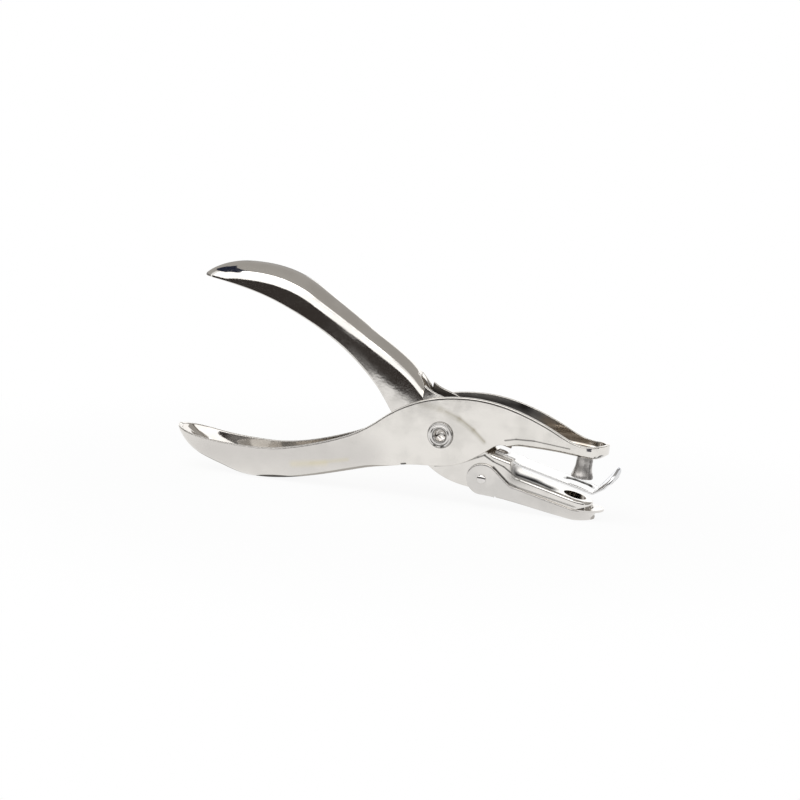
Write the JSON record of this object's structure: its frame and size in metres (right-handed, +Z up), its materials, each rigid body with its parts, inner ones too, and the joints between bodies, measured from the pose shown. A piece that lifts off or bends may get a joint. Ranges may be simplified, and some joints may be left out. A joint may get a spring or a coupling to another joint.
{
  "type": "hole punch plier",
  "caption": "Hand punch plier of pressed nickel-plated steel: spoon handles cross at a rivet, a sprung punch meets a die with a stripper, and a swing-down tray catches chips.",
  "frame": {"origin": "on the floor, under the middle of the object's length and width", "axes": "+X from the handles to the jaws, +Y along the pivot rivet, +Z up"},
  "size_m": [0.1298, 0.0146, 0.0605],
  "materials": {
    "nickel_outer": "polished nickel plate",
    "nickel_inner": "polished nickel plate",
    "nickel_tray": "satin nickel plate",
    "nickel_strip": "bright nickel plate",
    "rivet_steel": "plated steel",
    "turned_steel": "turned, dull",
    "spring_wire": "drawn wire"
  },
  "bodies": {
    "lower_handle": {"outer_lever": "nickel_outer", "pivot_rivet": "rivet_steel", "punch_pin": "turned_steel", "return_spring": "spring_wire"},
    "upper_handle": {"inner_lever": "nickel_inner", "stripper_plate": "nickel_strip", "stripper_rivet": "rivet_steel", "tray_rivet_near": "rivet_steel", "tray_rivet_far": "rivet_steel"},
    "tray": {"chip_tray": "nickel_tray"}
  },
  "joints": [
    {"name": "lever_pivot", "type": "hinge", "parent": "lower_handle", "child": "upper_handle", "pos_m": [0.01543, 0, 0.0189], "axis": [0, -1, 0], "range_deg": [0, 8.5], "stiffness_Nm_per_rad": 1, "springref_deg": -17.19, "deforming": ["return_spring"]},
    {"name": "tray_hinge", "type": "hinge", "parent": "upper_handle", "child": "tray", "pos_m": [0.02783, 0, 0.008], "axis": [0, 1, 0], "range_deg": [0, 70]}
  ]
}
